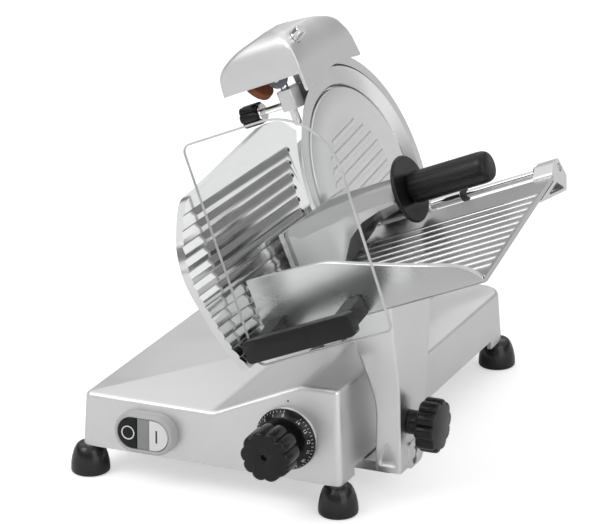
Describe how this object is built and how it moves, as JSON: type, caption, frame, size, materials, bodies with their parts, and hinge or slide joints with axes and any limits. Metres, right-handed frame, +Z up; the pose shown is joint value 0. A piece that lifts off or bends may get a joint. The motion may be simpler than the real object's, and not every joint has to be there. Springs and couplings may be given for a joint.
{
  "type": "gravity-feed food slicer",
  "caption": "Tilted-blade food slicer with ribbed gauge plate, sliding food tray with clear hand guard and swinging pusher, sharpener cap and a switch and thickness dial on the base.",
  "frame": {"origin": "on the table, under the centre of the whole slicer's bounding box", "axes": "+Z up, +Y away from the operator's side, the way the tray slides to cut, +X to the operator's right, the side of the food tray; the blade faces right and up by 22.5 degrees"},
  "size_m": [0.4092, 0.499, 0.3755],
  "materials": {
    "cast_aluminium": "satin, lightly brushed",
    "tray_aluminium": "brushed, rib crests bright",
    "plate_aluminium": "polished",
    "blade_steel": "ground and polished",
    "plain_steel": "turned",
    "bright_steel": "polished",
    "pulley_aluminium": "turned",
    "black_plastic": "semi-gloss",
    "foot_rubber": "smooth, slightly glossy",
    "black_rubber": "matte",
    "grey_plastic": "matte",
    "white_plastic": "matte",
    "clear_sheet": "clear acrylic sheet with grey edges",
    "brown_stone": "brown abrasive grit",
    "dark_stone": "dark grey abrasive grit",
    "motor_enamel": "dark enamel"
  },
  "bodies": {
    "base": {"base_housing": "cast_aluminium", "bottom_plate": "plain_steel", "foot_1": "foot_rubber", "foot_2": "foot_rubber", "foot_3": "foot_rubber", "foot_4": "foot_rubber", "switch_bezel": "grey_plastic", "gauge_guide_rod": "plain_steel", "blade_housing": "cast_aluminium", "blade_cover": "tray_aluminium", "cover_tie_rod": "plain_steel", "blade_bearing": "plain_steel", "motor": "motor_enamel", "drive_belt": "black_rubber", "carriage_slide_rod": "plain_steel", "carriage_guide_rail": "plain_steel"},
    "stop_key": {"stop_button": "black_plastic"},
    "start_key": {"start_button": "white_plastic"},
    "dial": {"dial_ring": "black_plastic", "thickness_knob": "black_plastic", "dial_spindle": "plain_steel"},
    "gauge": {"gauge_plate": "plate_aluminium", "gauge_plate_support": "cast_aluminium"},
    "cutter": {"blade": "blade_steel", "blade_pulley": "plain_steel"},
    "motor_wheel": {"motor_pulley": "pulley_aluminium"},
    "tie_knob": {"tie_rod_knob": "black_plastic"},
    "sharpener": {"sharpener_cap": "cast_aluminium", "sharpener_post": "bright_steel", "deburring_spindle": "plain_steel"},
    "grinder_spindle": {"grinding_spindle": "bright_steel"},
    "grinder_stone": {"grinding_stone": "brown_stone"},
    "burr_stone": {"deburring_stone": "dark_stone"},
    "sharpener_clamp": {"sharpener_clamp_knob": "black_plastic", "sharpener_clamp_screw": "bright_steel"},
    "carriage": {"carriage_slide_block": "plain_steel", "foot_bolt_1": "plain_steel", "foot_bolt_2": "plain_steel", "carriage_column": "cast_aluminium", "column_pin": "bright_steel", "carriage_tray": "tray_aluminium", "hand_guard": "clear_sheet", "front_handle": "black_plastic", "handle_spacer_left": "black_plastic", "handle_spacer_right": "black_plastic", "pusher_rod": "bright_steel", "rod_bracket": "cast_aluminium", "rod_buffer": "black_rubber"},
    "carriage_clamp": {"carriage_clamp_knob": "black_plastic"},
    "pusher_slider": {"pusher_bush": "bright_steel", "bush_seal": "black_rubber"},
    "pusher": {"pusher_arm": "cast_aluminium", "pusher_sleeve": "cast_aluminium", "pusher_teeth_plate": "plain_steel", "pusher_flange": "black_plastic", "pusher_handle": "black_plastic"}
  },
  "joints": [
    {"name": "stop_press", "type": "slide", "parent": "base", "child": "stop_key", "axis": [0, 0.9986, -0.0523], "range_m": [0, 0.0025], "stiffness_N_per_m": 400},
    {"name": "start_press", "type": "slide", "parent": "base", "child": "start_key", "axis": [0, 0.9986, -0.0523], "range_m": [0, 0.0025], "stiffness_N_per_m": 400},
    {"name": "gauge_slide", "type": "slide", "parent": "base", "child": "gauge", "axis": [-0.9239, 0, -0.3827], "range_m": [0, 0.012]},
    {"name": "dial_turn", "type": "hinge", "parent": "base", "child": "dial", "pos_m": [0.01585, -0.1618, 0.067], "axis": [0, -1, 0], "range_deg": [0, 300]},
    {"name": "blade_spin", "type": "hinge", "parent": "base", "child": "cutter", "pos_m": [-0.02415, 0.1105, 0.22], "axis": [0.9239, 0, 0.3827], "continuous": true},
    {"name": "motor_spin", "type": "hinge", "parent": "base", "child": "motor_wheel", "pos_m": [-0.03429, 0.1625, 0.15302], "axis": [0.9239, 0, 0.3827], "continuous": true},
    {"name": "tie_knob_turn", "type": "hinge", "parent": "base", "child": "tie_knob", "pos_m": [-0.07958, 0.1105, 0.19704], "axis": [0.9239, 0, 0.3827], "range_deg": [0, 360]},
    {"name": "sharpener_lift", "type": "slide", "parent": "base", "child": "sharpener", "axis": [-0.3827, 0, 0.9239], "range_m": [0, 0.02]},
    {"name": "grinder_press", "type": "slide", "parent": "sharpener", "child": "grinder_spindle", "axis": [-0.6088, 0, -0.7934], "range_m": [0, 0.002], "stiffness_N_per_m": 400},
    {"name": "grinder_spin", "type": "hinge", "parent": "grinder_spindle", "child": "grinder_stone", "pos_m": [-0.11663, 0.0672, 0.31104], "axis": [0.6088, 0, 0.7934], "continuous": true},
    {"name": "burr_stone_spin", "type": "hinge", "parent": "sharpener", "child": "burr_stone", "pos_m": [-0.08823, 0.0525, 0.32767], "axis": [0, 1, 0], "continuous": true},
    {"name": "sharpener_clamp_turn", "type": "hinge", "parent": "base", "child": "sharpener_clamp", "pos_m": [-0.12479, 0.079, 0.28006], "axis": [0.9239, 0, 0.3827], "range_deg": [0, 360]},
    {"name": "carriage_slide", "type": "slide", "parent": "base", "child": "carriage", "axis": [0, 1, 0], "range_m": [0, 0.22]},
    {"name": "carriage_clamp_turn", "type": "hinge", "parent": "carriage", "child": "carriage_clamp", "pos_m": [0.11585, -0.0955, 0.072], "axis": [1, 0, 0], "range_deg": [0, 360]},
    {"name": "pusher_travel", "type": "slide", "parent": "carriage", "child": "pusher_slider", "axis": [0.9239, 0, 0.3827], "range_m": [0, 0.07]},
    {"name": "pusher_swing", "type": "hinge", "parent": "pusher_slider", "child": "pusher", "pos_m": [0.04315, 0.0505, 0.21432], "axis": [-0.9239, 0, -0.3827], "range_deg": [0, 55]}
  ],
  "couplings": [
    {"joint": "dial_turn", "follows": "gauge_slide", "rad_per_m": 436.33},
    {"joint": "motor_spin", "follows": "blade_spin", "ratio": 4.8889}
  ]
}
